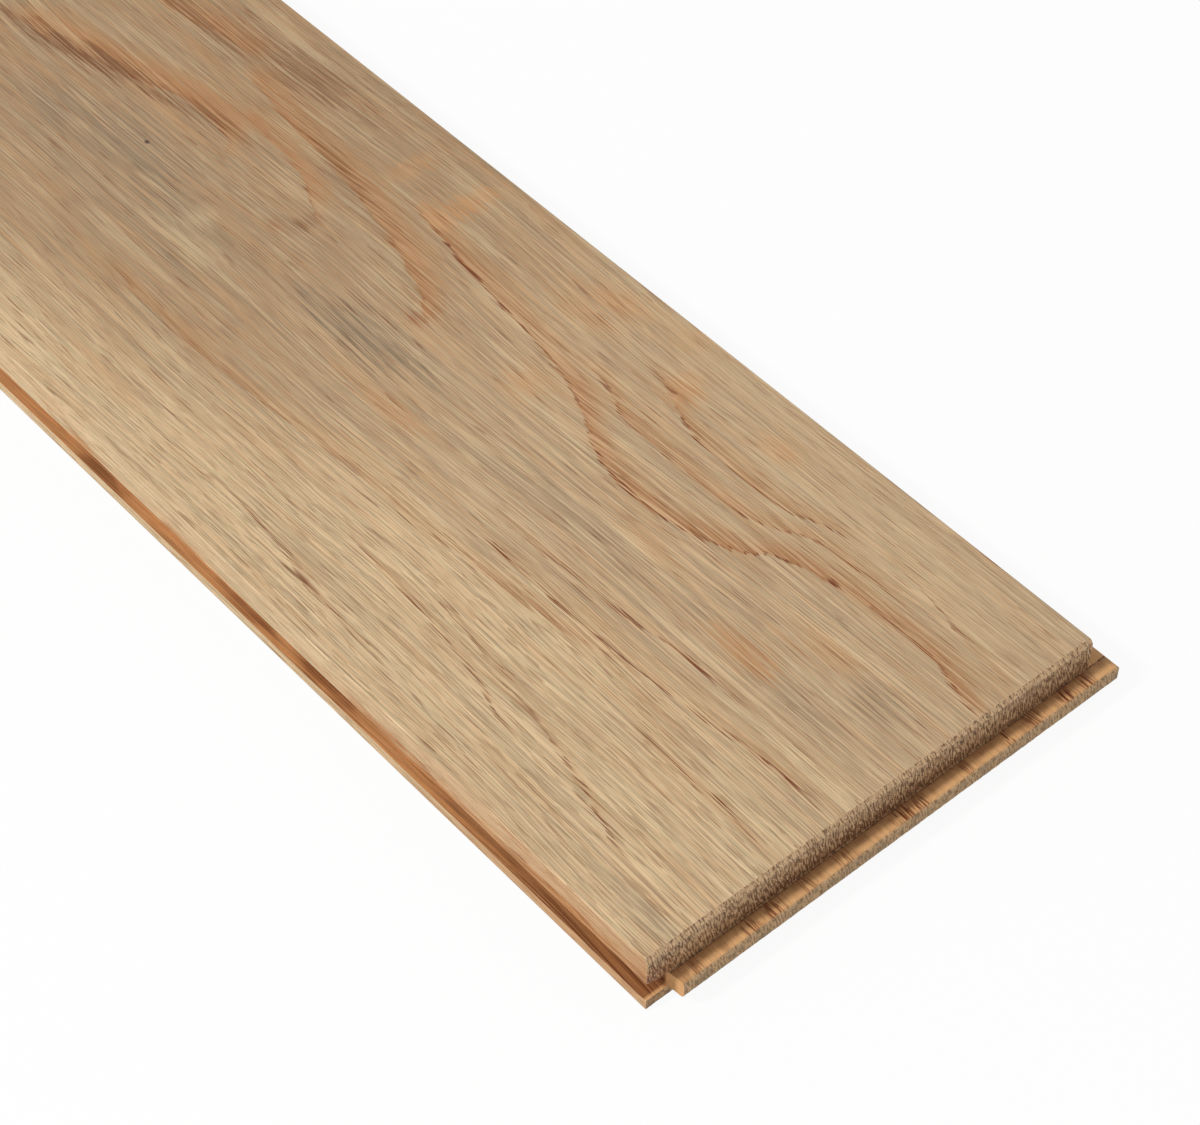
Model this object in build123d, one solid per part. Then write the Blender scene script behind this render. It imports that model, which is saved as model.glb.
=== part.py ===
from build123d import *
import os
from math import radians, tan

os.makedirs("parts", exist_ok=True)

# Solid oak floorboard, machined with a tongue and groove on all four edges. Lengths in mm.
# The length lies along X and the width along Y. Tongues point to +X and +Y, grooves open to -X
# and -Y, and the origin is the middle of the underside, below the middle of the face.
face_length = 1200
face_width = 150
thickness = 20

# The groove, and the tongue that has to fill it less the clearances
lower_lip = 4.0  # from the underside up to the groove's lower wall
groove_height = 5.7  # between the walls, past the flare
mouth_flare = 1.4  # by which the upper wall opens out at the mouth, to lead the tongue in
flare_depth = 4.2
side_tongue_reach = 6.5
end_tongue_reach = 5.0
tip_clearance = 0.5  # between a tongue's tip and the bottom of its groove
bed_clearance = 0.1  # under a seated tongue
crown_clearance = 0.2  # over a seated tongue
lip_setback = 0.3  # the lower lip stops short, so that the faces close first

# Edges
tongue_round = 0.9  # corners along a tongue's tip
groove_round = 0.4  # corners along a groove's bottom
side_arris = 0.3  # long edges of the face
end_arris = 1.2  # end edges of the face
underside_ease = 0.6  # edges of the underside
tongue_end_angle = 5  # degrees by which a tongue's end is trimmed, beside the groove it runs out into
score_width = 0.5  # line that the cutter's spur leaves along the end tongue's root
score_depth = 0.3

# Grooves along the underside that let the board lie flat
relief_count = 4
relief_pitch = 30
relief_width = 3
relief_depth = 2

sawn_allowance = 3  # by which the sawn blank is larger than the board

side_groove_depth = side_tongue_reach + tip_clearance
end_groove_depth = end_tongue_reach + tip_clearance
ceiling = lower_lip + groove_height
bed = lower_lip + bed_clearance
crown = ceiling - crown_clearance
draw = tan(radians(tongue_end_angle))
over = thickness  # how far a cutter runs past the wood


# Waste that leaves a tongue. Points are distance out from the shoulder, and height.
def tongue_cutter(reach, arris):
    waste = Polyline(
        (-underside_ease - over, -over),
        (0, underside_ease),
        (0, bed),
        (reach, bed),
        (reach, crown),
        (0, crown),
        (0, thickness - arris),
        (-arris - over, thickness + over),
        (reach + over, thickness + over),
        (reach + over, -over),
        close=True,
    )
    cutter = make_face(waste)
    tip = [v for v in cutter.vertices() if 0 < v.X < reach + over / 2]
    return fillet(tip, tongue_round)


# Waste of the groove that such a tongue fills. Points are distance out from the edge, and height.
def groove_cutter(depth, arris):
    waste = Polyline(
        (-lip_setback - underside_ease - over, -over),
        (-lip_setback, underside_ease),
        (-lip_setback, lower_lip),
        (-depth, lower_lip),
        (-depth, ceiling),
        (-flare_depth, ceiling),
        (0, ceiling + mouth_flare),
        (0, thickness - arris),
        (-arris - over, thickness + over),
        (over, thickness + over),
        (over, -over),
        close=True,
    )
    cutter = make_face(waste)
    bottom = [v for v in cutter.vertices() if v.X < -(flare_depth + depth) / 2 and 0 < v.Y < thickness]
    return fillet(bottom, groove_round)


# A cutter's pass along the edge that faces outward, at its distance from the middle
def cutter_pass(cutter, outward, distance):
    edge = Plane(origin=outward * distance, x_dir=outward, z_dir=outward.cross(Vector(0, 0, 1)))
    return extrude(edge * cutter, face_length, both=True)


length_axis = Vector(1, 0, 0)
width_axis = Vector(0, 1, 0)
board = Box(
    face_length + 2 * end_tongue_reach + sawn_allowance,
    face_width + 2 * side_tongue_reach + sawn_allowance,
    thickness,
    align=(Align.CENTER, Align.CENTER, Align.MIN),
)
board -= cutter_pass(tongue_cutter(side_tongue_reach, side_arris), width_axis, face_width / 2)
board -= cutter_pass(groove_cutter(side_groove_depth, side_arris), -width_axis, face_width / 2)
board -= cutter_pass(tongue_cutter(end_tongue_reach, end_arris), length_axis, face_length / 2)
board -= cutter_pass(groove_cutter(end_groove_depth, end_arris), -length_axis, face_length / 2)


# Plan of what is trimmed from a tongue's end, beside the groove round the corner, so that
# the tongue gets shorter towards its tip.
def tongue_trim(shoulder, groove_bottom):
    return [
        (shoulder, groove_bottom - over),
        (shoulder + over, groove_bottom - over),
        (shoulder + over, groove_bottom + over * draw),
        (shoulder, groove_bottom),
    ]


def prism(plan):
    return extrude(make_face(Polyline(*plan, close=True)), thickness, both=True)


end_tongue_trim = tongue_trim(face_length / 2, side_groove_depth - face_width / 2)
side_tongue_trim = tongue_trim(face_width / 2, end_groove_depth - face_length / 2)
board -= prism(end_tongue_trim)
board -= prism([(x, y) for y, x in side_tongue_trim])

# The score is a small vee along the foot of the end shoulder, right across the tongue.
middle = score_width / 2
score = Polyline((0, 0), (middle, -score_depth), (score_width, 0), (middle, score_depth), close=True)
foot = Plane(origin=(face_length / 2, 0, crown), x_dir=length_axis, z_dir=-width_axis)
board -= extrude(foot * make_face(score), face_width, both=True)

relief = Box(2 * face_length, relief_width, 2 * relief_depth)
board -= [place * relief for place in GridLocations(0, relief_pitch, 1, relief_count)]

export_step(board, "parts/oak_board.step")
print("oak_board", board.bounding_box(), "volume", round(board.volume), "solids", len(board.solids()))
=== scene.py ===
from math import radians
from types import SimpleNamespace

import bpy
from mathutils import Matrix, Vector


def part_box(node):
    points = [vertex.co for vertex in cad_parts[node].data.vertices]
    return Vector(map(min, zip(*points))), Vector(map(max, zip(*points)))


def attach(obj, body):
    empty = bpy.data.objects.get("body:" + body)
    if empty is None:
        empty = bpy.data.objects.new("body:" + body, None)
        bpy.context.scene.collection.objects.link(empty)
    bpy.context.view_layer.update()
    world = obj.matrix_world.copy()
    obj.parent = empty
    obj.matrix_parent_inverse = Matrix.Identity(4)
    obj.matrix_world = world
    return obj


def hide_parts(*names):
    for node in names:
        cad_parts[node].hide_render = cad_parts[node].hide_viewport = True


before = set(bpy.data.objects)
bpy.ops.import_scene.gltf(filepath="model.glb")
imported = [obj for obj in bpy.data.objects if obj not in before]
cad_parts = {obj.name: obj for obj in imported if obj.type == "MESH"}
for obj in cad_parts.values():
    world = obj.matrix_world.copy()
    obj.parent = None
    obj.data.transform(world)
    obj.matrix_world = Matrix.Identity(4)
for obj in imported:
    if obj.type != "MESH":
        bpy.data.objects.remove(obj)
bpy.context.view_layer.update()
print("frame loaded")

# Lengths are in millimetres unless a note says metres. The near end is the one with the end tongue.
mm = 0.001
faceTop = 20.0  # z of the face
shoulderX = 600.0  # x of the near end's shoulder


# Small helpers for wiring nodes: a socket is linked, and anything else is typed into the input.
def place(tree, kind, inputs=(), **settings):
    node = tree.nodes.new(kind)
    for setting, value in settings.items():
        setattr(node, setting, value)
    for socket, value in enumerate(inputs):
        if isinstance(value, bpy.types.NodeSocket):
            tree.links.new(value, node.inputs[socket])
        elif value is not None:
            node.inputs[socket].default_value = value
    return node


def calc(tree, operation, *values):
    return place(tree, "ShaderNodeMath", values, operation=operation).outputs[0]


def times(tree, *values):
    total = values[0]
    for value in values[1:]:
        total = calc(tree, "MULTIPLY", total, value)
    return total


def plus(tree, base, value, amount):
    # amount times the value, on top of the base
    return calc(tree, "MULTIPLY_ADD", value, amount, base)


def vector(tree, operation, *values):
    node = place(tree, "ShaderNodeVectorMath", values, operation=operation)
    scalar = operation in ("DOT_PRODUCT", "LENGTH")
    return node.outputs["Value" if scalar else "Vector"]


def ramp(tree, value, low, high, bottom=0.0, top=1.0, soft=True):
    kind = "SMOOTHSTEP" if soft else "LINEAR"
    limits = (value, low, high, bottom, top)
    return place(tree, "ShaderNodeMapRange", limits, interpolation_type=kind).outputs[0]


def noise(tree, point, size, detail=0.0, rough=0.5, shift=(0.0, 0.0, 0.0)):
    # size is the length in mm of one patch along x, y and z
    scaled = vector(tree, "MULTIPLY_ADD", point, [1.0 / s for s in size], shift)
    return place(tree, "ShaderNodeTexNoise", (scaled, None, 1.0, detail, rough)).outputs[0]


def swing(tree, point, size, *pattern):
    # noise that goes up and down about zero
    return calc(tree, "SUBTRACT", noise(tree, point, size, *pattern), 0.5)


def blend(tree, factor, first, second, mode="MIX"):
    node = place(tree, "ShaderNodeMix", data_type="RGBA", blend_type=mode)
    for socket, value in ((0, factor), (6, first), (7, second)):
        if isinstance(value, bpy.types.NodeSocket):
            tree.links.new(value, node.inputs[socket])
        else:
            node.inputs[socket].default_value = value
    return node.outputs[2]


def paint(code):
    # a colour picker's hex code, as the linear colour that nodes take
    parts = [int(code[i:i + 2], 16) / 255 for i in (1, 3, 5)]
    return [p / 12.92 if p <= 0.04045 else ((p + 0.055) / 1.055) ** 2.4 for p in parts] + [1.0]


def openGroup(name, inputs, outputs):
    tree = bpy.data.node_groups.new(name, "ShaderNodeTree")
    for socket, value in inputs.items():
        isPoint = isinstance(value, tuple)
        made = tree.interface.new_socket(
            socket, in_out="INPUT", socket_type="NodeSocketVector" if isPoint else "NodeSocketFloat")
        made.default_value = value
    for socket in outputs:
        tree.interface.new_socket(socket, in_out="OUTPUT", socket_type="NodeSocketFloat")
    return tree, tree.nodes.new("NodeGroupInput").outputs, tree.nodes.new("NodeGroupOutput").inputs


def useGroup(tree, group, **values):
    node = place(tree, "ShaderNodeGroup", node_tree=group)
    for name, value in values.items():
        if isinstance(value, bpy.types.NodeSocket):
            tree.links.new(value, node.inputs[name])
        else:
            node.inputs[name].default_value = value
    return node.outputs


# Growth rings: the tree's heart runs along the board, above the face, and the rings are shells round it.
# A swell pushes the shells out (plus) or draws them in (minus) round one place on the face.
ringPlan = {
    "heartNear": 65.0,              # y of the heart at the near end
    "heartFar": 20.0,               # y of the heart farther back
    "heartTurn": (300.0, 560.0),    # x between which it goes over from one to the other
    "heartHeight": 81.0,
    "ringWidth": 2.1,
    "wander": 9.0,                  # how far the shells wander, behind the part with the drawn lines
    "wanderFrom": (300.0, 120.0),   # x, where the wandering starts and where it is full
    "wanderPattern": ((110, 34, 60), 1.0),
    "tear": 0.8,                    # how far the fibres tear a ring's edge
    "tearPattern": ((10, 0.7, 0.7), 1.0),
    "bandRise": 2.5,                # higher keeps the band closer to the year's edge
    "lineFrom": (0.84, 0.92),       # part of the year where the line on its edge starts and is full
    "yearEnd": (0.94, 1.0, 1.0, 0.0),
    "fewPlain": 1.6,                # higher leaves fewer plain years
    "fadePattern": ((60, 9, 9), 1.0, 0.5, (3.1, 7.7, 1.3)),
    "fade": (0.36, 0.62, 0.3, 1.0),
    # x, y, reach along, reach across, push
    "swells": [
        (400.0, 29.0, 50.0, 20.0, 4.5),
        (487.0, 11.0, 38.0, 17.0, -9.0),
        (540.0, 80.0, 70.0, 18.0, -2.5),
        (355.0, 83.0, 75.0, 24.0, -14.0),
        (260.0, 11.0, 60.0, 14.0, -3.0),
        (590.0, -70.0, 110.0, 36.0, -24.0),
    ],
}


def growthRings(plan):
    # Radius is the distance from the heart. Band swells up to a year's edge, Line lies on that edge,
    # and Weight says how plain that year is
    tree, given, result = openGroup(
        "growth rings", {"Point": (0.0, 0.0, 0.0)}, ("Radius", "Band", "Line", "Weight"))
    point = given["Point"]
    x, y, z = place(tree, "ShaderNodeSeparateXYZ", (point,)).outputs
    heart = ramp(tree, x, *plan["heartTurn"], plan["heartFar"], plan["heartNear"])
    aside = calc(tree, "SUBTRACT", y, heart)
    below = calc(tree, "SUBTRACT", plan["heartHeight"], z)
    radius = vector(tree, "LENGTH", place(tree, "ShaderNodeCombineXYZ", (0.0, aside, below)).outputs[0])
    for atX, atY, along, across, push in plan["swells"]:
        near = vector(tree, "SUBTRACT", point, (atX, atY, 0.0))
        near = vector(tree, "MULTIPLY", near, (1 / along, 1 / across, 0.0))
        fall = calc(tree, "MULTIPLY", vector(tree, "DOT_PRODUCT", near, near), -1.0)
        radius = plus(tree, radius, calc(tree, "EXPONENT", fall), push)
    wander = ramp(tree, x, *plan["wanderFrom"], 0.0, 2 * plan["wander"])
    radius = plus(tree, radius, swing(tree, point, *plan["wanderPattern"]), wander)
    torn = plus(tree, radius, swing(tree, point, *plan["tearPattern"]), plan["tear"])
    years = calc(tree, "DIVIDE", torn, plan["ringWidth"])
    year = calc(tree, "FLOOR", years)
    part = calc(tree, "SUBTRACT", years, year)
    luck = place(tree, "ShaderNodeTexWhiteNoise", (None, year), noise_dimensions="1D").outputs[0]
    fade = ramp(tree, noise(tree, point, *plan["fadePattern"]), *plan["fade"])
    rise = calc(tree, "POWER", part, plan["bandRise"])
    drop = ramp(tree, part, *plan["yearEnd"])
    tree.links.new(radius, result["Radius"])
    tree.links.new(times(tree, rise, drop), result["Band"])
    tree.links.new(times(tree, ramp(tree, part, *plan["lineFrom"]), drop), result["Line"])
    tree.links.new(times(tree, calc(tree, "POWER", luck, plan["fewPlain"]), fade), result["Weight"])
    return tree


# Fibres: long streaks along the board, short dark pores, and the checks and thin veins that break up the
# dark lines. They are the same in section on the ends. Sizes are along x, y and z.
fibrePlan = {
    "swayReach": (130.0, 30.0, 30.0),
    "sway": 5.0,
    "streak": (55.0, 0.44, 0.44),
    "hair": (12.0, 0.32, 0.32),
    "hue": (40.0, 0.8, 0.8),
    "swingFrom": (0.34, 0.66, -0.5, 0.5),   # of streaks, hairs and hues
    "pore": (7.0, 0.29, 0.29),
    "poreFrom": (0.63, 0.72),
    "check": (12.0, 0.33, 0.33),
    "checkFrom": (0.48, 0.58),
    "veinFrom": (0.66, 0.72),               # a vein is the middle of a strong check
}


def woodFibres(plan):
    tree, given, result = openGroup(
        "wood fibres", {"Point": (0.0, 0.0, 0.0)}, ("Streak", "Hair", "Hue", "Pore", "Check", "Vein"))
    point = given["Point"]
    sway = times(tree, swing(tree, point, plan["swayReach"], 1.0), 2 * plan["sway"])
    swayed = vector(tree, "ADD", point, place(tree, "ShaderNodeCombineXYZ", (0.0, sway, 0.0)).outputs[0])
    for size, shift, outputs in (
            ("streak", 0.0, {"Streak": "swingFrom"}), ("hair", 5.2, {"Hair": "swingFrom"}),
            ("hue", 9.7, {"Hue": "swingFrom"}), ("pore", 1.7, {"Pore": "poreFrom"}),
            ("check", 8.3, {"Check": "checkFrom", "Vein": "veinFrom"})):
        made = noise(tree, swayed, plan[size], shift=(shift, shift, shift))
        for output, limits in outputs.items():
            tree.links.new(ramp(tree, made, *plan[limits]), result[output])
    return tree


# A soft patch, drawn out along the grain, with a ragged edge.
def softPatch():
    tree, given, result = openGroup("soft patch", {
        "Point": (0.0, 0.0, 0.0), "Ragged": 0.5, "Centre": (0.0, 0.0, faceTop), "Reach": (10.0, 5.0, 8.0),
        "Turn": 0.0}, ("Mask",))
    edge, core = 1.15, 0.15  # where the patch ends and where it is full, in shares of its reach
    away = vector(tree, "SUBTRACT", given["Point"], given["Centre"])
    turned = place(
        tree, "ShaderNodeVectorRotate", (away, None, (0, 0, 1), given["Turn"]), rotation_type="Z_AXIS")
    near = vector(tree, "DIVIDE", turned.outputs[0], given["Reach"])
    far = calc(tree, "ADD", vector(tree, "LENGTH", near), given["Ragged"])
    tree.links.new(ramp(tree, far, edge, core), result["Mask"])
    return tree


# One grain line: a soft band on its upper side, and the thin strip on its edge where dark dashes show.
def grainLine():
    tree, given, result = openGroup(
        "grain line", {"Above": 0.0, "Width": 3.0, "Band": 0.5, "Line": 0.5}, ("Band", "Line"))
    lowerEdge, strip = (-0.9, 0.3), (0.65, 0.25)  # distances from the line
    above = given["Above"]
    band = times(tree, ramp(tree, above, *lowerEdge), ramp(tree, above, given["Width"], 0.0))
    thin = ramp(tree, calc(tree, "ABSOLUTE", above), *strip)
    tree.links.new(times(tree, band, given["Band"]), result["Band"])
    tree.links.new(times(tree, thin, given["Line"]), result["Line"])
    return tree


rings = growthRings(ringPlan)
fibres = woodFibres(fibrePlan)
patch = softPatch()
line = grainLine()
print("grain groups ready")


# The oak's colours, by what they paint.
oakColours = {
    "straw": "#C4AA85",         # sapwood
    "tan": "#B69B79",           # heartwood
    "dull": "#9E8363",          # heartwood farther back
    "pale": "#D8C198",
    "warm": "#BE8F62",
    "band": "#AF7D50",          # growth rings and the lines' bands
    "umber": "#7A5334",
    "line": "#6A2F0A",          # dark dashes and veins
    "pore": "#8F7350",
    "grey": "#8B775E",
    "rust": "#94552F",
    "knot": "#3F2B26",
    "amber": "#AF7540",         # long edges
    # burnt dashes on the long edges, and painted shade with some burn at the end tongue's root
    "burntAndShade": "#76451F",
    "milled": "#D29E68",        # tongues and grooves
    "groove": "#BA8453",        # painted shade deep inside the side groove
    "grooveNear": "#723F1A",    # the same, darker at the near end: painted shade there, and a stain on the end tongue's top
    "endEdge": "#BF9D78",       # end grain, from the top edge down
    "endTop": "#B48B62",
    # painted shade at the shoulder's foot, with a stain; also dark mottle, torn fibres and the lower lip's
    # brown
    "endFoot": "#7A4E2D",
    "endDark": "#4E3722",
    "endPale": "#D2B088",
    "tongueEnd": "#C09B70",
}

# Patterns that several parts of the finish share. A pattern is the length of one patch along x, y and z,
# then its detail, its roughness and a shift that tells it from the others.
sharedPatterns = {
    "fuzz": ((7, 1.0, 1.0), 3.0, 0.6, (2.0, 5.0, 3.0)),
    "mottle": ((9, 5, 3), 2.0, 0.6, (1.0, 8.0, 5.0)),
    "blotch": ((26, 9, 9), 2.0, 0.6, (6.0, 2.0, 8.0)),
}


def readWood(tree, patterns):
    # what the finish is painted by: the place in mm, the way the wood faces, its rings and its fibres
    coords = place(tree, "ShaderNodeTexCoord")
    point = vector(tree, "SCALE", coords.outputs["Object"])
    point.node.inputs["Scale"].default_value = 1 / mm
    x, y, z = place(tree, "ShaderNodeSeparateXYZ", (point,)).outputs
    facing = place(tree, "ShaderNodeSeparateXYZ", (coords.outputs["Normal"],)).outputs
    return SimpleNamespace(
        point=point, x=x, y=y, z=z, facing=facing,
        ring=useGroup(tree, rings, Point=point), fibre=useGroup(tree, fibres, Point=point),
        fuzz=swing(tree, point, *patterns["fuzz"]), mottle=swing(tree, point, *patterns["mottle"]),
        blotch=noise(tree, point, *patterns["blotch"]))


def tint(tree, factor, colour, name):
    return blend(tree, factor, colour, paint(oakColours[name]))


def tone(tree, wood, colour, streak, hair):
    # lighter and darker along the fibres
    level = plus(tree, 1.0, wood.fibre["Streak"], streak)
    level = plus(tree, level, wood.fibre["Hair"], hair)
    return blend(tree, 1.0, colour, place(tree, "ShaderNodeCombineXYZ", (level,) * 3).outputs[0], "MULTIPLY")


def patchMask(tree, wood, ragged, centre, reach, turn=0.0):
    made = useGroup(
        tree, patch, Point=wood.point, Ragged=ragged, Centre=centre, Reach=reach, Turn=radians(turn))
    return made["Mask"]


# The face, and the marks that show on it, placed in x and y. Unless a note says more, a value with two or
# four numbers is a ramp: where it starts and where it ends, then its level at each, 0 and 1 if not given.
faceLook = {
    "driftPattern": ((70, 11, 11), 2.0),
    "sapwoodDrift": 26.0,
    "sapwoodFrom": (84.0, 112.0),                   # by distance from the heart
    "dullFrom": (480.0, 330.0),                     # by x
    "slowPattern": ((45, 5, 5), 2.0, 0.6, (2.2, 9.1, 4.0)),
    "slowStreaks": 0.10,
    "slowTints": {"pale": (0.48, 0.70, 0.0, 0.26), "warm": (0.48, 0.28, 0.0, 0.30)},
    "hueTints": {"warm": (0.1, 0.5, 0.0, 0.20), "grey": (-0.1, -0.5, 0.0, 0.11)},
    "ringsShown": (330.0, 230.0, 0.30, 1.0),        # by x: quiet where the drawn lines lie
    "ringBands": 0.75,
    "ringDashes": 0.9,
    "fibrous": (-0.5, 0.8, 1.3, 0.45),              # by streak and hair, how strongly bands and patches show
    "darkBands": (0.60, 1.2, 0.0, 0.35),
    "raggedPattern": ((14, 1.2, 4), 2.0, 0.65),
    "ragged": 2.4,
    "raggedStreaks": 0.30,
    "streakTone": (260.0, 470.0, 0.10, 0.19),       # by x
    "hairTone": (260.0, 470.0, 0.10, 0.18),         # by x
    "pores": 0.22,
    "sapwoodPores": 0.38,                           # how much more they show in the sapwood
    "veins": 0.45,
    "knotAt": (295.0, 5.0),                         # x and y
    "knotReach": (1.26, 0.9),                       # along and across
    "markDepth": 12.0,                              # how far down patches and the knot reach
    "lineDepth": (13.0, 18.0),                      # by z
    "linePattern": ((13, 0.9, 0.9), 1.0, 0.5, (4.0, 1.0, 6.0)),
    "lineTear": 4.0,
    "bandSpread": 1.9,
    "lineEnds": (6.0, 8.0),                         # how far a line fades out past its end, and before it
    # drawn lines: band width, band, line, then x and y from left to right
    "grainLines": [
        (5.0, 0.75, 0.95, [
            (368, 47), (394, 42), (420, 39), (438, 36), (449, 33), (460, 28.5), (468, 24), (477, 21),
            (487, 19.5), (500, 20.5), (509, 22.5), (519, 26), (529, 33.5), (543, 38), (552, 39.5),
            (573, 40), (585, 38), (600, 34)]),
        (3.5, 0.60, 0.75, [
            (441, 42), (451, 41.5), (460, 39), (470, 36), (481, 36), (506, 36.5), (521, 40), (530, 44.5),
            (540, 46), (563, 47)]),
        (3.5, 0.60, 0.80, [
            (456, 54), (466, 53), (473, 50), (480, 47), (490, 46), (502, 45.5), (514, 46), (529, 50.5),
            (537, 52)]),
        (3.0, 0.35, 0.60, [(545, 55), (560, 54), (579, 50), (600, 47)]),
        (6.5, 0.80, 0.30, [
            (288, 45.5), (300, 44), (320, 41.5), (340, 39.5), (357, 36.5), (373, 32.5), (393, 26),
            (404, 19)]),
        (5.0, 0.75, 0.45, [(300, 34), (320, 32.5), (337, 29.5), (345, 26), (352, 22)]),
        (8.0, 1.00, 0.50, [
            (222, 8), (235, 10.5), (249, 13.5), (262, 17), (274, 21), (290, 25), (304, 25), (312, 20)]),
        (7.0, 0.85, 0.30, [(228, 49), (243, 46.5), (257, 48), (267, 50.5), (285, 52.5)]),
        (3.0, 0.45, 0.45, [
            (330, -32), (360, -35), (393, -34), (427, -31), (460, -29.5), (502, -25.5), (535, -20)]),
        (2.0, 0.25, 0.85, [(470, -12), (500, -10.5), (520, -9.5), (537, -7), (560, -6)]),
        (2.5, 0.35, 0.95, [(475, -19), (498, -19.5), (525, -19), (555, -17), (572, -15), (590, -14)]),
        (1.5, 0.30, 0.70, [
            (452, -44.5), (460, -46), (473, -46.7), (493, -48.7), (510, -51), (520, -54), (528, -55.5)]),
        (1.5, 0.30, 0.70, [(520, -47), (537, -49.5), (553, -53.5), (562, -56), (575, -59.5)]),
        (1.5, 0.20, 0.75, [(410, -61.5), (427, -59.5), (443, -60.5), (453, -62.5), (470, -65), (490, -66)]),
        (1.5, 0.25, 0.85, [(480, -40), (493, -42.5), (520, -45)]),
        (1.5, 0.30, 0.90, [(545, -31), (565, -31.5), (578, -31.7), (592, -33)]),
    ],
    # colour, x, y, reach along, reach across, clockwise turn in degrees, strength
    "patches": [
        ("grey", 397, 4, 28, 9, -8, 0.80),
        ("grey", 325, -6, 22, 7, 0, 0.60),
        ("grey", 297, 1, 30, 11, 0, 0.75),
        ("grey", 264, -6, 20, 8, 0, 0.60),
        ("grey", 302, -18, 48, 3, 2, 0.55),
        ("grey", 579, 19, 13, 6, 0, 0.45),
        ("grey", 560, 5, 34, 7, 0, 0.25),
        ("grey", 480, 2, 45, 8, 0, 0.25),
        ("umber", 303, 59, 28, 9, -8, 0.50),
        ("umber", 250, 14, 40, 5, -12, 1.00),
        ("umber", 250, 50, 30, 4, 0, 0.60),
        ("umber", 276, 58, 24, 7, 0, 0.25),
        ("umber", 298, 25, 20, 4, -6, 0.50),
        ("umber", 340, 41, 42, 4, 12, 0.35),
        ("umber", 352, 19, 4, 6, 0, 0.45),
        ("rust", 347, 12, 4, 3, 0, 0.40),
        ("umber", 334, 12, 5, 3, 0, 0.30),
        ("rust", 402, 20, 4, 7, 0, 0.45),
        ("warm", 375, 59, 5, 16, 0, 0.75),
        ("warm", 372, 49, 9, 5, 0, 0.70),
        ("warm", 352, 57, 5, 13, 0, 0.50),
        ("warm", 432, 65, 15, 6, -20, 0.80),
        ("warm", 430, 55, 16, 6, 0, 0.55),
        ("warm", 469, 57, 7, 9, -25, 0.80),
        ("warm", 456, 70, 8, 6, -20, 0.60),
        ("warm", 502, 61, 9, 6, 0, 0.70),
        ("warm", 546, 5, 14, 5, 0, 0.70),
        ("warm", 505, 11, 18, 4, 0, 0.50),
        ("warm", 560, 22, 12, 4, 0, 0.50),
        ("warm", 423, -9, 24, 4, 0, 0.55),
        ("warm", 440, 25, 8, 9, 0, 0.50),
        ("pale", 331, -3, 6, 7, 40, 0.35),
        ("straw", 560, 58, 60, 16, 0, 0.45),
        ("straw", 480, 70, 60, 9, 0, 0.35),
        ("pale", 340, -10, 26, 4, -6, 0.20),
        ("umber", 456, -64, 9, 0.5, -6, 0.70),
        ("umber", 559, 22, 9, 0.5, 0, 0.50),
        ("rust", 600, -73, 8, 5, 0, 0.30),
        ("grey", 590, -66, 12, 6, 0, 0.35),
    ],
}


def handLine(tree, x, points, fades):
    # y of a drawn line, for each x, and where it shows
    (left, right), (low, high) = [(min(c), max(c)) for c in zip(*points)]
    way = ramp(tree, x, left, right, soft=False)
    node = place(tree, "ShaderNodeFloatCurve", (1.0, way))
    curve = node.mapping.curves[0]
    spots = [((a - left) / (right - left), (b - low) / (high - low)) for a, b in points]
    curve.points[0].location, curve.points[1].location = spots[0], spots[-1]
    for spot in spots[1:-1]:
        curve.points.new(*spot)
    node.mapping.update()
    y = plus(tree, low, node.outputs[0], high - low)
    past, before = fades
    fromLeft = ramp(tree, x, left - past, left + before)
    toRight = ramp(tree, x, right + past, right - before)
    return y, times(tree, fromLeft, toRight)


def paintLines(tree, wood, look):
    # the bands and the dark dashes of the drawn lines, torn along the grain
    torn = swing(tree, wood.point, *look["linePattern"])
    band, thin = 0.0, 0.0
    for width, bandStrength, lineStrength, points in look["grainLines"]:
        lineY, shown = handLine(tree, wood.x, points, look["lineEnds"])
        above = plus(tree, calc(tree, "SUBTRACT", wood.y, lineY), torn, look["lineTear"])
        made = useGroup(
            tree, line, Above=above, Width=look["bandSpread"] * width, Band=bandStrength, Line=lineStrength)
        band = calc(tree, "MAXIMUM", band, times(tree, made["Band"], shown))
        thin = calc(tree, "MAXIMUM", thin, times(tree, made["Line"], shown))
    nearTop = ramp(tree, wood.z, *look["lineDepth"])
    return times(tree, band, nearTop), times(tree, thin, wood.fibre["Check"], nearTop)


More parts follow.
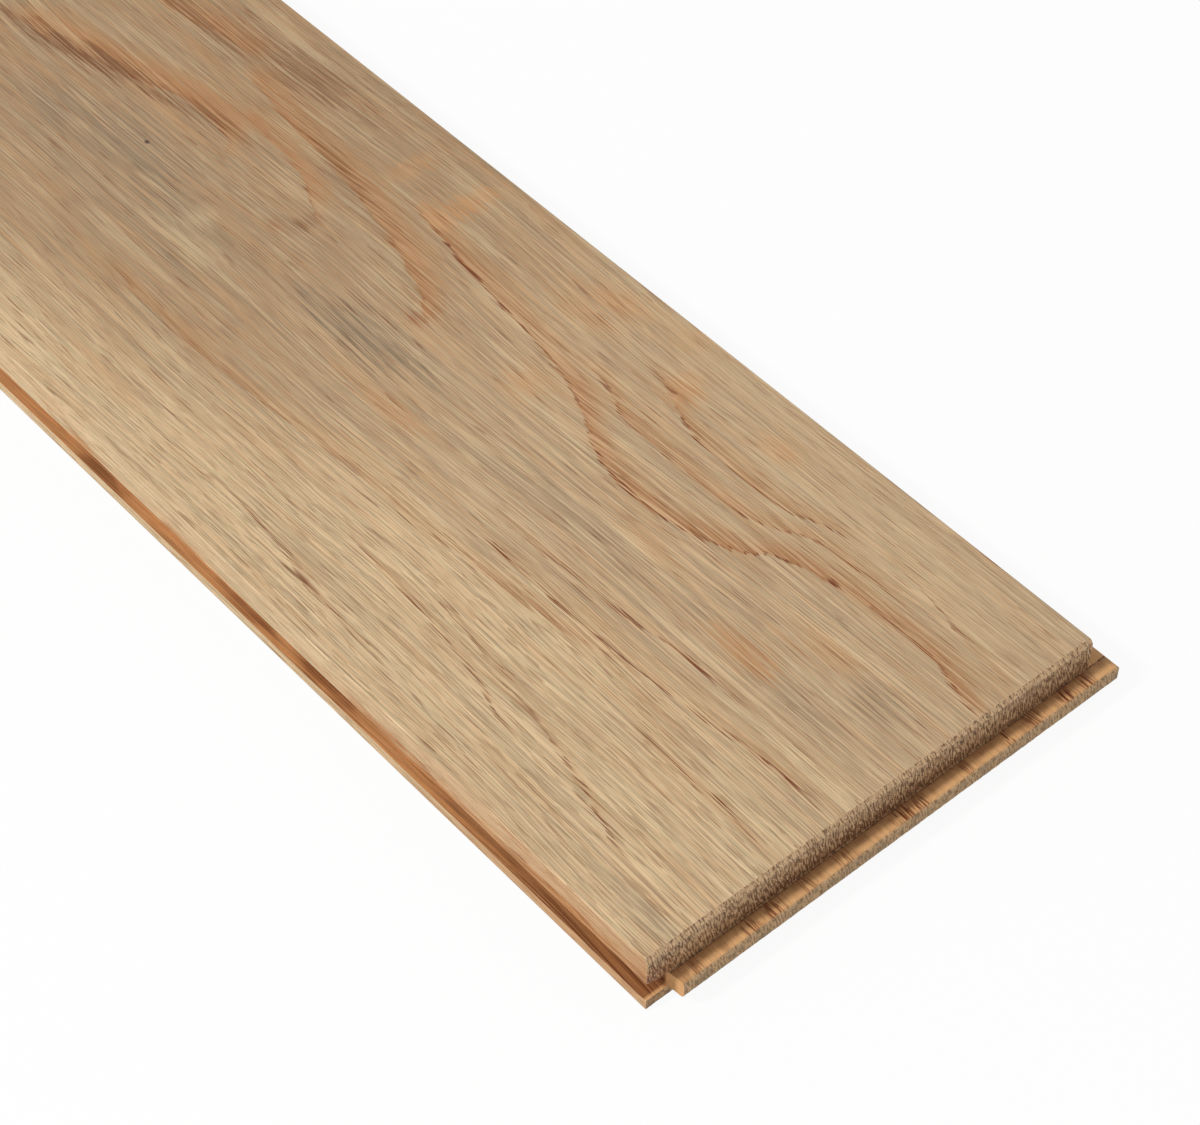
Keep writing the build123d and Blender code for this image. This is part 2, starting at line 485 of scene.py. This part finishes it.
def paintFace(tree, wood, look):
    ring, fibre = wood.ring, wood.fibre

    # sapwood side straw, heartwood side tan and duller farther back, in slow drifts
    drift = swing(tree, wood.point, *look["driftPattern"])
    sap = ramp(tree, plus(tree, ring["Radius"], drift, look["sapwoodDrift"]), *look["sapwoodFrom"])
    colour = tint(tree, ramp(tree, wood.x, *look["dullFrom"]), paint(oakColours["tan"]), "dull")
    colour = tint(tree, sap, colour, "straw")
    slow = noise(tree, wood.point, *look["slowPattern"])
    slow = plus(tree, slow, fibre["Streak"], look["slowStreaks"])
    for name, limits in look["slowTints"].items():
        colour = tint(tree, ramp(tree, slow, *limits), colour, name)
    for name, limits in look["hueTints"].items():
        colour = tint(tree, ramp(tree, fibre["Hue"], *limits), colour, name)

    # growth rings, then the bands of the drawn lines, torn into fibres
    weight = times(tree, ring["Weight"], ramp(tree, wood.x, *look["ringsShown"]))
    colour = tint(tree, times(tree, ring["Band"], weight, look["ringBands"]), colour, "band")
    band, thin = paintLines(tree, wood, look)
    fibrous = ramp(tree, calc(tree, "ADD", fibre["Hair"], fibre["Streak"]), *look["fibrous"])
    band = times(tree, band, fibrous)
    colour = tint(tree, band, colour, "band")
    colour = tint(tree, ramp(tree, band, *look["darkBands"]), colour, "umber")

    # patches, ragged along the grain
    ragged = times(tree, swing(tree, wood.point, *look["raggedPattern"]), look["ragged"])
    ragged = plus(tree, ragged, fibre["Streak"], look["raggedStreaks"])
    for name, atX, atY, along, across, turn, strength in look["patches"]:
        mask = patchMask(
            tree, wood, ragged, (atX, atY, faceTop), (along, across, look["markDepth"]), turn)
        colour = tint(tree, times(tree, mask, fibrous, strength), colour, name)

    # streaks, pores and thin veins, then the dark dashes and the knot
    streak = ramp(tree, wood.x, *look["streakTone"])
    colour = tone(tree, wood, colour, streak, ramp(tree, wood.x, *look["hairTone"]))
    porous = plus(tree, look["pores"], sap, look["sapwoodPores"])
    colour = tint(tree, times(tree, fibre["Pore"], porous), colour, "pore")
    colour = tint(tree, times(tree, fibre["Vein"], look["veins"]), colour, "line")
    ringDashes = times(tree, fibre["Check"], ring["Line"], weight, look["ringDashes"])
    colour = tint(tree, calc(tree, "MAXIMUM", thin, ringDashes), colour, "line")
    knot = patchMask(tree, wood, 0.0, (*look["knotAt"], faceTop), (*look["knotReach"], look["markDepth"]))
    return tint(tree, knot, colour, "knot")


# Long edges: they turn amber towards the near end, and a fuzzy stripe runs over the groove and the tongue.
edgeLook = {
    "facing": (0.5, 0.9),
    "endFuzz": 60.0,                                # how far the near end's colour frays along x
    "amber": (460.0, 590.0, 0.0, 0.42),             # by x
    "stripeFoot": (10.2, 10.8),                     # by z
    "stripeTop": (15.4, 12.2),                      # by z
    "stripeFuzz": 9.0,
    "stripeWhole": (470.0, 510.0),                  # by x, and only in blotches farther back
    "stripeBlotches": (0.48, 0.66, 0.0, 0.8),
    "stripeStreaks": (0.5, -0.3, 0.45, 1.0),
    "stripeDashes": 0.60,
}


def paintEdges(tree, wood, colour, look):
    nearly = plus(tree, wood.x, wood.fuzz, look["endFuzz"])
    onEdge = ramp(tree, calc(tree, "ABSOLUTE", wood.facing[1]), *look["facing"])
    colour = tint(tree, times(tree, onEdge, ramp(tree, nearly, *look["amber"])), colour, "amber")
    foot = ramp(tree, wood.z, *look["stripeFoot"])
    top = ramp(tree, plus(tree, wood.z, wood.fuzz, look["stripeFuzz"]), *look["stripeTop"])
    whole = ramp(tree, nearly, *look["stripeWhole"])
    shown = calc(tree, "MAXIMUM", whole, ramp(tree, wood.blotch, *look["stripeBlotches"]))
    stripe = times(tree, onEdge, foot, top, shown)
    streaks = ramp(tree, wood.fibre["Streak"], *look["stripeStreaks"])
    colour = tint(tree, times(tree, stripe, streaks), colour, "amber")
    return tint(tree, times(tree, stripe, wood.fibre["Check"], look["stripeDashes"]), colour, "burntAndShade")


# Milled tongues and grooves: fresher and more orange than the brushed face, with painted shade deep in the
# side groove, darkest towards the near end.
milledLook = {
    "below": (11.2, 10.4),                          # by z
    "above": (3.6, 3.95),                           # by z
    "cover": 0.85,
    "streak": 0.10,
    "hair": 0.06,
    "deepFrom": (-60.0, -66.0),                     # by y
    "deepUntil": (599.6, 598.6),                    # by x
    "endFuzz": 70.0,
    "grooveShadeFrom": (490.0, 592.0),                    # by x, and only in blotches farther back
    "grooveShadeBlotches": (0.50, 0.70, 0.0, 0.75),
    "grooveShadeStreaks": (0.5, -0.2, 0.65, 1.0),
    "deepStreak": 0.26,
    "deepHair": 0.22,
}


def paintMilled(tree, wood, colour, look):
    inside = times(tree, ramp(tree, wood.z, *look["below"]), ramp(tree, wood.z, *look["above"]))
    milled = tone(tree, wood, paint(oakColours["milled"]), look["streak"], look["hair"])
    colour = blend(tree, times(tree, inside, look["cover"]), colour, milled)
    # painted shade deep in the side groove, darkest towards the near end and in blotches and streaks farther
    # back
    deep = times(tree, inside, ramp(tree, wood.x, *look["deepUntil"]), ramp(tree, wood.y, *look["deepFrom"]))
    burntAndShade = ramp(tree, plus(tree, wood.x, wood.fuzz, look["endFuzz"]), *look["grooveShadeFrom"])
    burntAndShade = calc(tree, "MAXIMUM", burntAndShade, ramp(tree, wood.blotch, *look["grooveShadeBlotches"]))
    burntAndShade = times(tree, burntAndShade, ramp(tree, wood.fibre["Streak"], *look["grooveShadeStreaks"]))
    groove = tint(tree, burntAndShade, paint(oakColours["groove"]), "grooveNear")
    return blend(tree, deep, colour, tone(tree, wood, groove, look["deepStreak"], look["deepHair"]))


# End grain: fine leaning hatch with specks, pale at the top edge, darker down to the tongue: painted shade
# in the corner over it, deepened by a stain across the middle.
endLook = {
    "facing": (0.35, 0.8),
    "lean": 0.25,                                   # how far the hatch goes over in y for each mm in z
    "along": 0.2,                                   # how fast it changes along x
    "hatch": ((1.0, 0.48, 2.6),),
    "speckle": ((1.0, 0.60, 0.50),),
    "speckles": 0.6,
    "gritRise": 3.0,                                # how far grit and mottle move the levels up and down
    "mottleRise": 14.0,
    "topEdge": (18.6, 16.2),                        # by z
    "paleSide": (-46.0, -58.0, 0.0, 0.60),          # by y
    "foot": (17.0, 10.5),                           # by z: painted shade in the corner over the tongue
    "plainFootShade": 0.2,
    "footShadeAndStain": 0.8,
    "stainFrom": (-60.0, -38.0),                    # by y
    "stainUntil": (42.0, 14.0, 0.45, 1.0),          # by y
    "stainAbove": (9.6, 9.9),                       # by z
    # colour, then by y, by z and strength, at the corner over the groove
    "corner": [("milled", (-50.0, -57.0), (17.0, 12.0), 0.45), ("rust", (-64.0, -70.0), (18.0, 15.0), 0.85)],
    "cornerAbove": (9.5, 9.9),                      # by z
    "ringBands": (0.35, 1.0, 0.0, 0.25),
    "darkHatch": (0.02, -0.16, 0.0, 0.80),
    "paleHatch": (0.02, 0.15),
    "paleAtFoot": (0.2, 1.0, 0.90, 0.45),
    "darkMottle": (0.02, 0.18, 0.0, 0.45),
    # the tongue's tip and the lower lip
    "tipFrom": (603.0, 604.0),                      # by x
    "lipBelow": (4.4, 3.9),                         # by z
    "tipDark": (0.02, -0.18, 0.0, 0.55),
    "tipPale": (0.04, 0.16, 0.0, 0.60),
    "tipGrey": (-0.02, 0.14, 0.0, 0.50),
    "lipBrown": (-69.5, -70.5, 0.0, 0.30),          # by y
}


def paintEnds(tree, wood, colour, look):
    y, z = wood.y, wood.z
    leaning = (times(tree, wood.x, look["along"]), plus(tree, y, z, look["lean"]), z)
    leaning = place(tree, "ShaderNodeCombineXYZ", leaning).outputs[0]
    speckle = swing(tree, wood.point, *look["speckle"])
    grit = plus(tree, swing(tree, leaning, *look["hatch"]), speckle, look["speckles"])
    height = plus(tree, z, wood.mottle, look["mottleRise"])
    height = plus(tree, height, grit, look["gritRise"])

    # darker towards the foot: painted shade in the corner over the tongue, deepened by a stain across the
    # middle
    foot = ramp(tree, height, *look["foot"])
    stain = times(
        tree, ramp(tree, y, *look["stainFrom"]), ramp(tree, y, *look["stainUntil"]),
        ramp(tree, z, *look["stainAbove"]))
    grain = tint(tree, ramp(tree, height, *look["topEdge"]), paint(oakColours["endEdge"]), "endTop")
    grain = tint(tree, ramp(tree, y, *look["paleSide"]), grain, "endEdge")
    footShadeAndStain = plus(tree, look["plainFootShade"], stain, look["footShadeAndStain"])
    grain = tint(tree, times(tree, foot, footShadeAndStain), grain, "endFoot")
    above = ramp(tree, z, *look["cornerAbove"])
    for name, byY, byZ, strength in look["corner"]:
        mask = times(tree, ramp(tree, y, *byY), ramp(tree, height, *byZ), above, strength)
        grain = tint(tree, mask, grain, name)
    grain = tint(tree, ramp(tree, wood.ring["Band"], *look["ringBands"]), grain, "endDark")
    grain = tint(tree, ramp(tree, grit, *look["darkHatch"]), grain, "endDark")
    pale = times(tree, ramp(tree, grit, *look["paleHatch"]), ramp(tree, foot, *look["paleAtFoot"]))
    grain = tint(tree, pale, grain, "endPale")
    grain = tint(tree, ramp(tree, wood.mottle, *look["darkMottle"]), grain, "endFoot")

    tip = tint(tree, ramp(tree, grit, *look["tipDark"]), paint(oakColours["tongueEnd"]), "endDark")
    tip = tint(tree, ramp(tree, grit, *look["tipPale"]), tip, "endPale")
    tip = tint(tree, ramp(tree, wood.mottle, *look["tipGrey"]), tip, "grey")
    tip = tint(tree, ramp(tree, y, *look["lipBrown"]), tip, "endFoot")
    onTip = calc(tree, "MAXIMUM", ramp(tree, wood.x, *look["tipFrom"]), ramp(tree, z, *look["lipBelow"]))
    ends = ramp(tree, calc(tree, "ABSOLUTE", wood.facing[0]), *look["facing"])
    return blend(tree, ends, colour, blend(tree, onTip, grain, tip))


# The end tongue's top: darker at its root, with painted shade under the shoulder and some burn there, and
# with clusters of dark streaks.
tongueLook = {
    "from": (599.9, 600.1),                         # by x
    "facing": (0.5, 0.9),
    "root": (602.8, 600.2, 0.0, 0.60),              # by x: painted shade under the shoulder, partly burn
    "rootMottle": 5.0,
    "stain": (0.0, 0.16, 0.0, 0.35),
    "streakPattern": ((5, 0.42, 3), 0.0, 0.5, (3.0, 3.0, 3.0)),
    "streakFrom": (0.44, 0.54),
    "clusterFuzz": 1.5,
    "clusterAt": (603.0, 9.5),                      # x and z
    "clusterReach": (5.0, 6.0),                     # along x and z
    # y, reach across, strength
    "clusters": [
        (-63, 4, 0.6), (-45, 3, 0.9), (-37, 4, 0.8), (-26, 3, 0.6), (-14, 4, 0.6), (6, 4, 1.0),
        (12, 3, 1.0), (28, 3, 0.5), (43, 2, 1.0), (52, 4, 0.9), (64, 4, 1.0), (71, 3, 0.9)],
}


def paintTongueTop(tree, wood, colour, look):
    onTongue = times(tree, ramp(tree, wood.x, *look["from"]), ramp(tree, wood.facing[2], *look["facing"]))
    # painted shade at the root, in the corner under the shoulder, partly burn
    root = ramp(tree, plus(tree, wood.x, wood.mottle, look["rootMottle"]), *look["root"])
    colour = tint(tree, times(tree, onTongue, root), colour, "burntAndShade")
    colour = tint(tree, times(tree, onTongue, ramp(tree, wood.mottle, *look["stain"])), colour, "grooveNear")
    streaks = ramp(tree, noise(tree, wood.point, *look["streakPattern"]), *look["streakFrom"])
    streaks = times(tree, streaks, onTongue)
    ragged = times(tree, wood.fuzz, look["clusterFuzz"])
    (atX, atZ), (along, up) = look["clusterAt"], look["clusterReach"]
    for atY, across, strength in look["clusters"]:
        mask = patchMask(tree, wood, ragged, (atX, atY, atZ), (along, across, up))
        colour = tint(tree, times(tree, mask, streaks, strength), colour, "line")
    return colour


# The broken edge over the near shoulder: pale torn fibres.
brinkLook = {
    "from": (598.2, 599.0),                         # by x
    "above": (18.4, 19.0),                          # by z
    "fibrePattern": ((0.8, 0.40, 1.6), 1.0, 0.6, (5.0, 1.0, 2.0)),
    "pale": (0.48, 0.60, 0.0, 0.75),
    "dark": (0.46, 0.34, 0.0, 0.45),
}


def paintBrink(tree, wood, colour, look):
    brink = times(tree, ramp(tree, wood.x, *look["from"]), ramp(tree, wood.z, *look["above"]))
    torn = noise(tree, wood.point, *look["fibrePattern"])
    colour = tint(tree, times(tree, brink, ramp(tree, torn, *look["pale"])), colour, "endPale")
    return tint(tree, times(tree, brink, ramp(tree, torn, *look["dark"])), colour, "endFoot")


# How the oak takes the light: bare, matt wood, with fine streaks and pores to feel.
surfaceLook = {
    "roughness": (-0.5, 0.5, 0.74, 0.52),           # by streak
    "poreHeight": -1.5,                             # against the streaks' height
    "bumpStrength": 0.45,
    "bumpHeight": 0.08,
    "specular": 0.35,
}


def oakFinish(look):
    material = bpy.data.materials.new("brushed oak")
    material.use_nodes = True
    tree = material.node_tree
    tree.nodes.clear()
    wood = readWood(tree, sharedPatterns)
    colour = paintFace(tree, wood, faceLook)
    colour = paintEdges(tree, wood, colour, edgeLook)
    colour = paintMilled(tree, wood, colour, milledLook)
    colour = paintEnds(tree, wood, colour, endLook)
    colour = paintTongueTop(tree, wood, colour, tongueLook)
    colour = paintBrink(tree, wood, colour, brinkLook)
    streak = wood.fibre["Streak"]
    bump = place(tree, "ShaderNodeBump")
    bump.inputs["Strength"].default_value = look["bumpStrength"]
    bump.inputs["Distance"].default_value = look["bumpHeight"] * mm
    tree.links.new(plus(tree, streak, wood.fibre["Pore"], look["poreHeight"]), bump.inputs["Height"])
    shader = place(tree, "ShaderNodeBsdfPrincipled")
    tree.links.new(colour, shader.inputs["Base Color"])
    tree.links.new(ramp(tree, streak, *look["roughness"], soft=False), shader.inputs["Roughness"])
    tree.links.new(bump.outputs[0], shader.inputs["Normal"])
    shader.inputs["Specular IOR Level"].default_value = look["specular"]
    output = place(tree, "ShaderNodeOutputMaterial")
    tree.links.new(shader.outputs[0], output.inputs["Surface"])
    return material


oakMaterial = oakFinish(surfaceLook)
print("oak finish ready")


# The board's mesh: the CAD shape, cut into fine strips where the grain's relief shows.
boardPlan = {
    "strips": 240,                          # along the grain, across the face and both ends
    "shoulderCuts": (18.4, 17.6, 16.8, 16.0, 15.2, 14.4, 13.6, 12.8, 12.0, 11.2, 10.4),
    "brinkCuts": (19.7, 19.4, 19.1),        # across the broken edge at the near end
    "crossCuts": (-590.0, 250.0, 590.0, 594.0, 597.0),
    "stretches": ((250.0, 590.0, 150), (-590.0, 250.0, 90)),  # from x, to x, cuts
    "merge": 0.001,                         # corners closer than this are one
    "flatWithin": 0.002,                    # radians, for the loose triangles of one flat side
    "smoothBelow": 32,                      # degrees
    # where the relief goes: by height, by x, and by how far a side looks up or along the board
    "faceHeight": (19.0, 19.9),
    "faceUp": (0.5, 0.9),
    "endAt": (598.9, 599.9),
    "endOut": (0.3, 0.9),
    "brinkAt": (598.0, 599.2),
    "brinkHeight": (18.4, 19.2),
    # each pattern's size and detail, and the depth that it turns into
    "furrows": ((26, 1.3, 1.3), 1.0),
    "furrowDepth": (0.25, 0.75, 0.05, 0.0),
    "pits": ((4, 1.0, 1.0), 1.0),
    "pitDepth": (0.3, 0.7, 0.0, 0.07),
    "torn": ((3.0, 0.8, 1.2), 2.0, 0.6),
    "tornDepth": (0.40, 0.75, 0.0, 0.22),
}


def selectFaces(board, test):
    bpy.ops.mesh.select_all(action="DESELECT")
    bpy.ops.object.mode_set(mode="OBJECT")
    for face in board.data.polygons:
        face.select = test(face.center / mm, face.normal)
    bpy.ops.object.mode_set(mode="EDIT")


def cutFaces(board, test, where, across):
    selectFaces(board, test)
    bpy.ops.mesh.bisect(plane_co=Vector(where) * mm, plane_no=across, threshold=boardPlan["merge"] * mm)


def cutLongEdges(board, start, stop, cuts):
    bpy.ops.mesh.select_all(action="DESELECT")
    bpy.ops.object.mode_set(mode="OBJECT")
    corners = board.data.vertices
    slack = 0.01
    for edge in board.data.edges:
        low, high = sorted(corners[i].co.x / mm for i in edge.vertices)
        edge.select = abs(low - start) < slack and abs(high - stop) < slack
    bpy.ops.object.mode_set(mode="EDIT")
    bpy.ops.mesh.select_mode(type="EDGE")
    bpy.ops.mesh.subdivide(number_cuts=cuts)
    bpy.ops.mesh.select_mode(type="FACE")


# Which sides a cut goes through:
def onFaceOrEnds(centre, normal):
    onFace = normal.z > 0.9 and centre.z > faceTop - 0.1
    onEnd = abs(normal.x) > 0.3 or centre.x > shoulderX
    return onFace or onEnd


def atNearEnd(centre, normal):
    return centre.x > shoulderX - 1.0


def everywhere(centre, normal):
    return True


def cutBoard(plan):
    # a merged copy of the CAD shape is cut by planes, so every size stays as the frame has it
    bpy.ops.object.select_all(action="DESELECT")
    board = bpy.data.objects.new("floorboard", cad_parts["oak_board"].data.copy())
    bpy.context.scene.collection.objects.link(board)
    bpy.context.view_layer.objects.active = board
    board.select_set(True)
    bpy.ops.object.mode_set(mode="EDIT")
    bpy.ops.mesh.select_mode(type="FACE")
    bpy.ops.mesh.select_all(action="SELECT")
    bpy.ops.mesh.remove_doubles(threshold=plan["merge"] * mm)
    bpy.ops.mesh.dissolve_limited(angle_limit=plan["flatWithin"])
    bpy.ops.mesh.customdata_custom_splitnormals_clear()
    low, high = (corner.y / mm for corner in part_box("oak_board"))
    faceWidth = 2 * abs(low)
    strip = 1
    while low + faceWidth * strip / plan["strips"] < high:
        y = low + faceWidth * strip / plan["strips"]
        cutFaces(board, onFaceOrEnds, (0, y, 0), (0, 1, 0))
        strip += 1
    for z in plan["brinkCuts"] + plan["shoulderCuts"]:
        cutFaces(board, atNearEnd, (0, 0, z), (0, 0, 1))
    for x in plan["crossCuts"]:
        cutFaces(board, everywhere, (x, 0, 0), (1, 0, 0))
    for start, stop, cuts in plan["stretches"]:
        cutLongEdges(board, start, stop, cuts)
    bpy.ops.object.mode_set(mode="OBJECT")
    return board


def reliefTree(plan):
    # brushed furrows along the face, a pitted near end and a torn edge; every move goes into the wood
    tree = bpy.data.node_groups.new("grain relief", "GeometryNodeTree")
    tree.interface.new_socket("Geometry", in_out="INPUT", socket_type="NodeSocketGeometry")
    tree.interface.new_socket("Geometry", in_out="OUTPUT", socket_type="NodeSocketGeometry")
    point = vector(tree, "SCALE", place(tree, "GeometryNodeInputPosition").outputs[0])
    point.node.inputs["Scale"].default_value = 1 / mm
    normal = place(tree, "GeometryNodeInputNormal").outputs[0]
    x, y, z = place(tree, "ShaderNodeSeparateXYZ", (point,)).outputs
    faceX, faceY, faceZ = place(tree, "ShaderNodeSeparateXYZ", (normal,)).outputs
    onTop = times(tree, ramp(tree, z, *plan["faceHeight"]), ramp(tree, faceZ, *plan["faceUp"]))
    onEnd = times(tree, ramp(tree, x, *plan["endAt"]), ramp(tree, faceX, *plan["endOut"]))
    brink = times(tree, ramp(tree, x, *plan["brinkAt"]), ramp(tree, z, *plan["brinkHeight"]))
    furrows, pits, torn = (
        ramp(tree, noise(tree, point, *plan[pattern]), *plan[depth])
        for pattern, depth in (("furrows", "furrowDepth"), ("pits", "pitDepth"), ("torn", "tornDepth")))
    depth = times(tree, furrows, onTop)
    depth = plus(tree, depth, pits, onEnd)
    depth = plus(tree, depth, torn, brink)
    inward = vector(tree, "SCALE", normal)
    tree.links.new(times(tree, depth, -mm), inward.node.inputs["Scale"])
    start = tree.nodes.new("NodeGroupInput").outputs[0]
    moved = place(tree, "GeometryNodeSetPosition", (start, None, None, inward)).outputs[0]
    tree.links.new(moved, tree.nodes.new("NodeGroupOutput").inputs[0])
    return tree


def finishBoard(board, plan):
    relief = board.modifiers.new("grain relief", "NODES")
    relief.node_group = reliefTree(plan)
    bpy.ops.object.modifier_apply(modifier=relief.name)
    bpy.ops.object.shade_smooth_by_angle(angle=radians(plan["smoothBelow"]))
    board.data.materials.clear()
    board.data.materials.append(oakMaterial)
    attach(board, "root")
    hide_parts("oak_board")


board = cutBoard(boardPlan)
print("board cut into", len(board.data.polygons), "faces")
finishBoard(board, boardPlan)
board.data.calc_loop_triangles()
print("board finished with", len(board.data.loop_triangles), "triangles")


# A white table, and the soft light of a small studio: a key from the groove's side and a bright room.
# Lengths here are in metres.
studio = {
    "tableSize": 8.0,
    "tableColour": "#E6E6E4",
    "tableGap": 0.0001,             # so that the table and the underside don't share a plane
    "underGap": 0.0025,             # light that is closer to the table than this goes through it
    "tableGlow": 0.93,              # how much of the table the camera sees as plain white
    "roomLight": 0.50,
    "keyFrom": (-0.14, -0.67, 0.73),
    "keyAim": (0.35, 0.0, 0.0),
    "keyDistance": 2.6,
    "keySize": 0.35,
    "keyPower": 53.0,
}


def whiteTable(plan):
    bpy.ops.object.select_all(action="DESELECT")
    bpy.ops.mesh.primitive_grid_add(
        x_subdivisions=4, y_subdivisions=4, size=plan["tableSize"], location=(0, 0, -plan["tableGap"]))
    table = bpy.context.object
    table.name = "table"
    material = bpy.data.materials.new("white table")
    material.use_nodes = True
    tree = material.node_tree
    tree.nodes.clear()
    matt = place(tree, "ShaderNodeBsdfDiffuse", (paint(plan["tableColour"]),)).outputs[0]
    white = place(tree, "ShaderNodeEmission", ((1, 1, 1, 1), 1.0)).outputs[0]
    path = place(tree, "ShaderNodeLightPath").outputs
    glow = times(tree, path["Is Camera Ray"], plan["tableGlow"])
    top = place(tree, "ShaderNodeMixShader", (glow, matt, white)).outputs[0]
    # the table can't be seen from below, and the underside gets light through it
    below = place(tree, "ShaderNodeNewGeometry").outputs["Backfacing"]
    close = calc(tree, "LESS_THAN", path["Ray Length"], plan["underGap"])
    unseen = calc(tree, "MAXIMUM", below, times(tree, close, path["Is Diffuse Ray"]))
    clear = place(tree, "ShaderNodeBsdfTransparent").outputs[0]
    mixed = place(tree, "ShaderNodeMixShader", (unseen, top, clear))
    tree.links.new(mixed.outputs[0], place(tree, "ShaderNodeOutputMaterial").inputs["Surface"])
    table.data.materials.append(material)


def brightRoom(plan):
    # the room lights the board softly, and is plain white where it is seen
    room = bpy.data.worlds.new("bright room")
    bpy.context.scene.world = room
    room.use_nodes = True
    tree = room.node_tree
    tree.nodes.clear()
    path = place(tree, "ShaderNodeLightPath").outputs
    seen = calc(tree, "MAXIMUM", path["Is Camera Ray"], path["Is Glossy Ray"])
    seen = calc(tree, "MAXIMUM", seen, path["Is Transmission Ray"])
    strength = ramp(tree, seen, 0.0, 1.0, plan["roomLight"], 1.0, soft=False)
    sky = place(tree, "ShaderNodeBackground", ((1, 1, 1, 1), strength)).outputs[0]
    tree.links.new(sky, place(tree, "ShaderNodeOutputWorld").inputs["Surface"])


def keyLight(plan):
    light = bpy.data.lights.new("key", "AREA")
    light.shape = "DISK"
    light.size = plan["keySize"]
    light.energy = plan["keyPower"]
    lamp = bpy.data.objects.new("key", light)
    bpy.context.scene.collection.objects.link(lamp)
    towards = Vector(plan["keyFrom"]).normalized()
    lamp.location = Vector(plan["keyAim"]) + towards * plan["keyDistance"]
    lamp.rotation_euler = towards.to_track_quat("Z", "Y").to_euler()


whiteTable(studio)
brightRoom(studio)
keyLight(studio)
print("studio ready")


# The camera stands off the near end's groove corner and looks down along the board. Places are in metres.
cameraPlan = {
    "place": (0.8819, -0.3593, 0.6000),
    "aim": (0.5011, -0.0025, 0.0200),
    "roll": 2.39,               # degrees
    "lens": 92.1,
    "sensor": 36.0,
    "nearest": 0.05,            # what is closer than this isn't drawn
}


def addCamera(plan):
    camera = bpy.data.objects.new("camera", bpy.data.cameras.new("camera"))
    bpy.context.scene.collection.objects.link(camera)
    camera.data.lens = plan["lens"]
    camera.data.sensor_width = plan["sensor"]
    camera.data.sensor_fit = "HORIZONTAL"
    camera.data.clip_start = plan["nearest"]
    look = (Vector(plan["aim"]) - Vector(plan["place"])).to_track_quat("-Z", "Y").to_matrix()
    turned = (look @ Matrix.Rotation(radians(plan["roll"]), 3, "Z")).to_4x4()
    camera.matrix_world = Matrix.Translation(plan["place"]) @ turned
    bpy.context.scene.camera = camera


addCamera(cameraPlan)
bpy.context.scene.view_settings.view_transform = "Standard"
print("camera ready")
